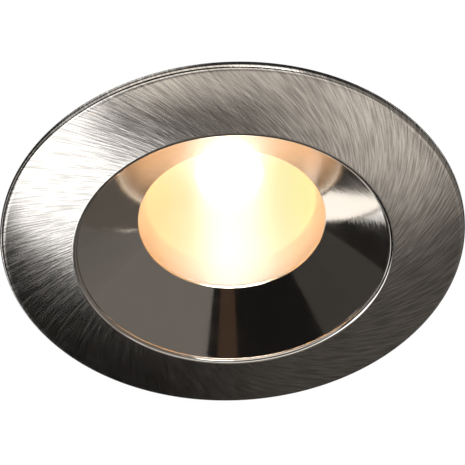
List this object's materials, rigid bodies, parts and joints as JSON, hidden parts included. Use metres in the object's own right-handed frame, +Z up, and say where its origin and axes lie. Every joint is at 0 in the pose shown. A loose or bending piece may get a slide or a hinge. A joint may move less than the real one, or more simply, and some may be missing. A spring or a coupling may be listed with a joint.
{
  "type": "recessed soffit downlight",
  "caption": "Round recessed soffit downlight: brushed flange, polished cone, lit lens, finned housing with driver, cable gland and folding spring clips.",
  "frame": {"origin": "centre of the ceiling plane, on the upper face of the flange gasket", "axes": "+Z up into the ceiling void, light shines along -Z, the spring clips stand at +X and -X"},
  "size_m": [0.085, 0.085, 0.0641],
  "materials": {
    "brushed_nickel": "brushed flange, polished cone",
    "gasket_foam": "closed-cell foam",
    "silicone": "translucent grey silicone",
    "lens_glass": "clear tempered glass, fine frost inside",
    "reflector_satin": "satin metallised",
    "die_cast": "satin silver-grey powder coat on die-cast aluminium",
    "zinc_screw": "bright zinc plate",
    "thermal_pad": "soft filled silicone",
    "led_ceramic": "white solder mask",
    "led_phosphor": "phosphor gel",
    "white_plastic": "moulded white plastic",
    "circuit_board": "green solder mask",
    "ferrite": "sintered ferrite",
    "winding_tape": "polyester tape",
    "capacitor_sleeve": "shrink sleeve",
    "green_plastic": "moulded green plastic",
    "black_plastic": "moulded black plastic",
    "red_wire": "insulated wire",
    "black_wire": "insulated wire",
    "cover_plastic": "glass-filled black nylon",
    "gland_plastic": "black nylon",
    "gland_rubber": "soft black rubber",
    "bracket_steel": "zinc-plated sheet",
    "pin_steel": "plain steel",
    "clip_steel": "stamped stainless strip",
    "sleeve_rubber": "soft grey-white sleeve",
    "spring_steel": "spring wire"
  },
  "bodies": {
    "luminaire": {"body_seal": "silicone", "bridge_rectifier": "black_plastic", "clamp_ring": "silicone", "clip_bracket_left": "bracket_steel", "clip_bracket_right": "bracket_steel", "clip_bracket_screws": "zinc_screw", "clip_pin_left": "pin_steel", "clip_pin_right": "pin_steel", "clip_spring_left": "spring_steel", "clip_spring_right": "spring_steel", "driver_board": "circuit_board", "driver_capacitors": "capacitor_sleeve", "driver_liner": "white_plastic", "flange_gasket": "gasket_foam", "front_lens": "lens_glass", "gland_body": "gland_plastic", "gland_lock_nut": "gland_plastic", "gland_nut": "gland_plastic", "gland_seal": "gland_rubber", "housing": "die_cast", "led_board": "led_ceramic", "led_emitter": "led_phosphor", "led_holder": "white_plastic", "led_holder_screws": "zinc_screw", "led_lead_negative": "black_wire", "led_lead_positive": "red_wire", "lens_seal": "silicone", "rear_cover": "cover_plastic", "rear_cover_screws": "zinc_screw", "rear_seal": "silicone", "reflector": "reflector_satin", "terminal_block": "green_plastic", "thermal_pad": "thermal_pad", "transformer_core": "ferrite", "transformer_winding": "winding_tape", "trim_ring": "brushed_nickel", "trim_screws": "zinc_screw"},
    "clip_right": {"clip_arm_right": "clip_steel", "clip_sleeve_right": "sleeve_rubber"},
    "clip_left": {"clip_arm_left": "clip_steel", "clip_sleeve_left": "sleeve_rubber"}
  },
  "joints": [
    {"name": "clip_right_fold", "type": "hinge", "parent": "luminaire", "child": "clip_right", "pos_m": [0.02755, 0, 0.014], "axis": [0, -1, 0], "range_deg": [0, 117], "stiffness_Nm_per_rad": 0.08, "springref_deg": -60, "deforming": ["clip_spring_right"]},
    {"name": "clip_left_fold", "type": "hinge", "parent": "luminaire", "child": "clip_left", "pos_m": [-0.02755, 0, 0.014], "axis": [0, 1, 0], "range_deg": [0, 117], "stiffness_Nm_per_rad": 0.08, "springref_deg": -60, "deforming": ["clip_spring_left"]}
  ]
}
